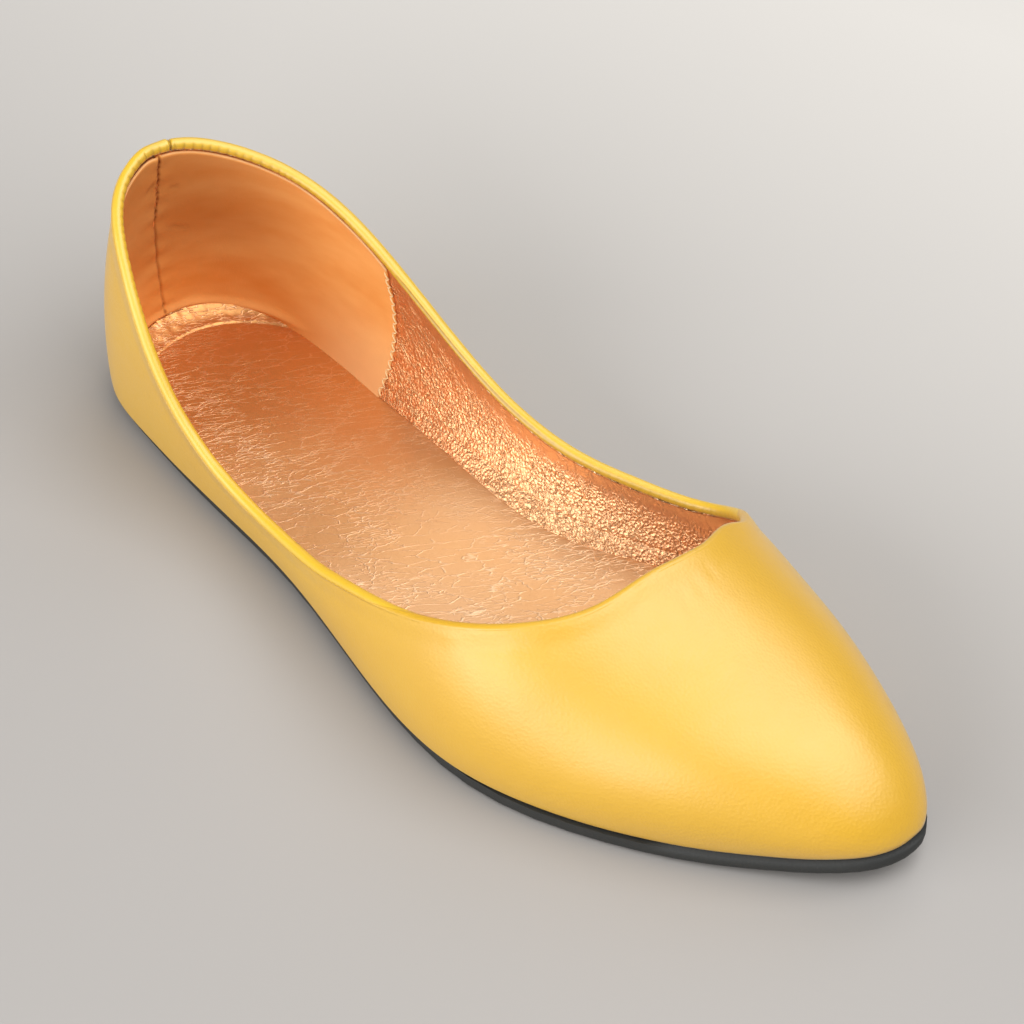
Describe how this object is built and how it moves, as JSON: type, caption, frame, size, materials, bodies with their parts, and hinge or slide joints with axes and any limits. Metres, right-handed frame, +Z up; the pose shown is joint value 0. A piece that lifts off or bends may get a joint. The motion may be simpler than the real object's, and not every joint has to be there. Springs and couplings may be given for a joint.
{
  "type": "ballet flat",
  "caption": "Low-cut pointed-toe slip-on leather shoe for the right foot, with a rolled topline and a thin rubber sole.",
  "frame": {"origin": "on the floor, under the middle of the shoe's box", "axes": "+X towards the toe, +Y towards the inner side of the foot, +Z up"},
  "size_m": [0.2556, 0.0928, 0.0716],
  "materials": {
    "sole_rubber": "matte moulded rubber",
    "upper_leather": "smooth full-grain leather with a fine grain and a satin gloss",
    "sock_foil": "crinkled copper foil on thin leather",
    "binding_leather": "rolled leather strip, satin"
  },
  "bodies": {
    "root": {"outsole": "sole_rubber", "upper": "upper_leather", "insole": "sock_foil", "topline_binding": "binding_leather"}
  },
  "joints": []
}
